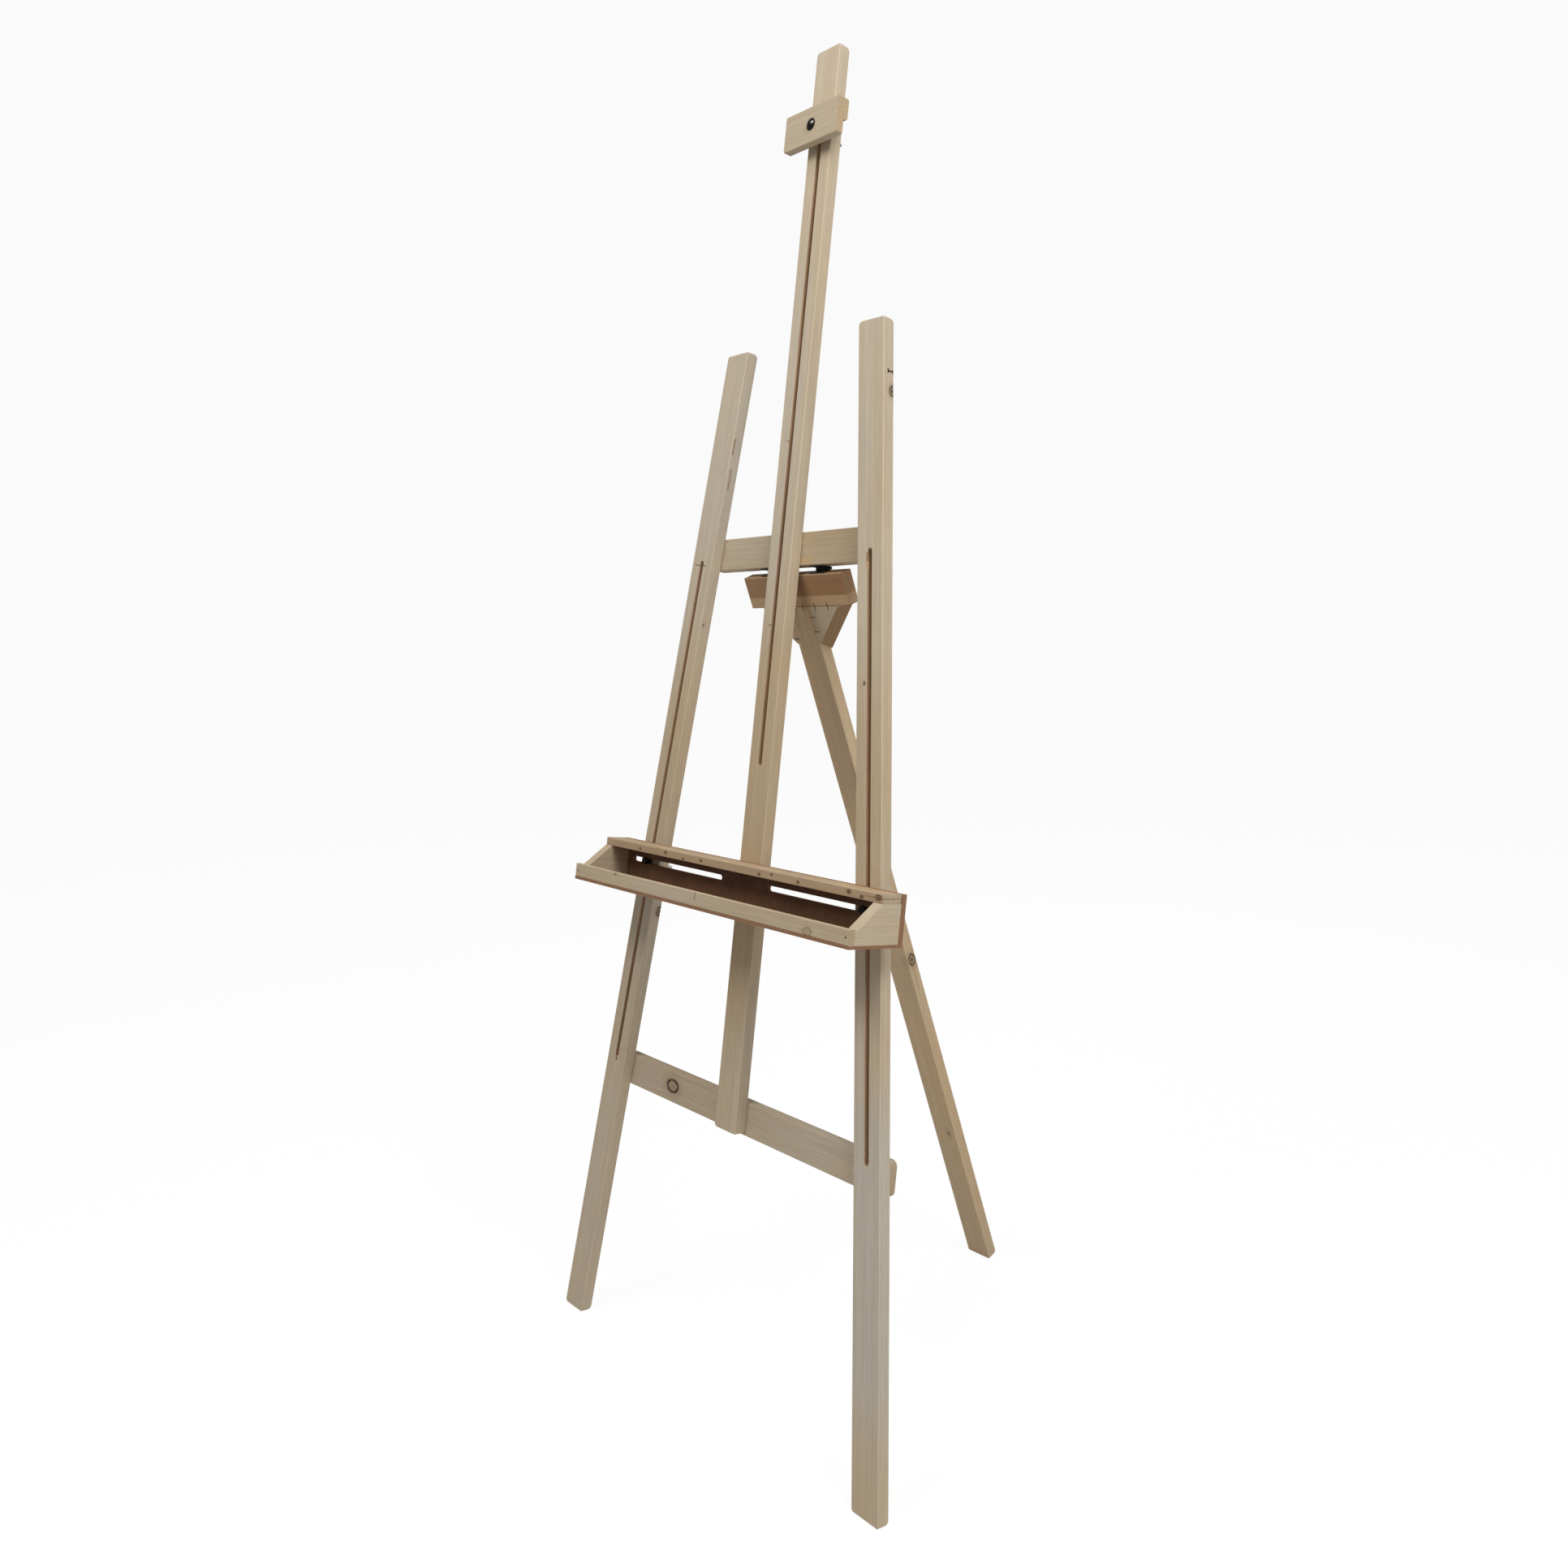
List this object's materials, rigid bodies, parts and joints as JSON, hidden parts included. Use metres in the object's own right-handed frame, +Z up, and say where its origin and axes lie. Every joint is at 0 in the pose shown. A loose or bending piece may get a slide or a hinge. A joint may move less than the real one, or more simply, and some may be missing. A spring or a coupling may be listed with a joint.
{
  "type": "artist easel",
  "caption": "Plain pine studio easel: splayed front legs with slots, a tall slotted mast, a folding rear leg, a sliding tray for brushes and a sliding top holder for the canvas.",
  "frame": {"origin": "on the floor, below the middle of the easel's footprint as it stands open", "axes": "+Z up, +X to the easel's right as its painter sees it, +Y from the front legs to the rear leg"},
  "size_m": [0.694, 0.5968, 1.8107],
  "materials": {
    "pine_board": "planed, unfinished",
    "pine_trim": "planed, unfinished",
    "hardboard": "matt, dark brown",
    "black_steel": "black, satin",
    "bright_steel": "zinc plated",
    "dark_steel": "dull"
  },
  "bodies": {
    "front_frame": {"left_leg": "pine_board", "right_leg": "pine_board", "mast": "pine_board", "upper_crossbar": "pine_board", "lower_crossbar": "pine_board", "crossbar_screws": "bright_steel", "hinge_frame_leaves": "black_steel", "hinge_frame_screws": "black_steel", "hinge_pins": "black_steel"},
    "rear_stand": {"rear_leg": "pine_board", "head_block": "pine_board", "gusset_left": "pine_board", "gusset_right": "pine_board", "staples": "dark_steel", "hinge_rear_leaves": "black_steel", "hinge_rear_screws": "black_steel"},
    "tray": {"tray_back_panel": "hardboard", "tray_bottom_panel": "hardboard", "tray_lip": "pine_trim", "tray_end_left": "pine_trim", "tray_end_right": "pine_trim", "tray_top_rail": "pine_trim", "tray_nails": "dark_steel"},
    "clamp_left": {"tray_bolt_left": "dark_steel", "tray_washer_left": "bright_steel"},
    "clamp_right": {"tray_bolt_right": "dark_steel", "tray_washer_right": "bright_steel"},
    "nut_left": {"tray_wing_nut_left": "bright_steel"},
    "nut_right": {"tray_wing_nut_right": "bright_steel"},
    "holder_carrier": {"holder_washer": "bright_steel"},
    "holder": {"holder_block": "pine_board", "holder_bolt": "bright_steel"},
    "holder_nut": {"holder_wing_nut": "bright_steel"}
  },
  "joints": [
    {"name": "rear_leg_fold", "type": "hinge", "parent": "front_frame", "child": "rear_stand", "pos_m": [0, -0.07542, 1.1232], "axis": [1, 0, 0], "range_deg": [-26.64, 62]},
    {"name": "tray_slide", "type": "slide", "parent": "front_frame", "child": "tray", "axis": [0, 0.1633, 0.9866], "range_m": [-0.2489, 0.4153]},
    {"name": "clamp_left_shift", "type": "slide", "parent": "tray", "child": "clamp_left", "axis": [1, 0, 0], "range_m": [-0.0332, 0.0551]},
    {"name": "clamp_right_shift", "type": "slide", "parent": "tray", "child": "clamp_right", "axis": [-1, 0, 0], "range_m": [-0.0332, 0.0551]},
    {"name": "nut_left_spin", "type": "hinge", "parent": "clamp_left", "child": "nut_left", "pos_m": [-0.23124, -0.16453, 0.70129], "axis": [0, 0.9866, -0.1633], "continuous": true},
    {"name": "nut_right_spin", "type": "hinge", "parent": "clamp_right", "child": "nut_right", "pos_m": [0.23124, -0.16453, 0.70129], "axis": [0, 0.9866, -0.1633], "continuous": true},
    {"name": "holder_slide", "type": "slide", "parent": "front_frame", "child": "holder_carrier", "axis": [0, 0.1633, 0.9866], "range_m": [-0.519, 0.0097]},
    {"name": "holder_swivel", "type": "hinge", "parent": "holder_carrier", "child": "holder", "pos_m": [0, -0.0167, 1.70441], "axis": [0, 0.9866, -0.1633], "range_deg": [-180, 180]},
    {"name": "holder_nut_spin", "type": "hinge", "parent": "holder", "child": "holder_nut", "pos_m": [0, 0.00105, 1.70147], "axis": [0, 0.9866, -0.1633], "continuous": true}
  ],
  "couplings": [
    {"joint": "clamp_left_shift", "follows": "tray_slide", "ratio": 0.13165},
    {"joint": "clamp_right_shift", "follows": "tray_slide", "ratio": 0.13165}
  ]
}
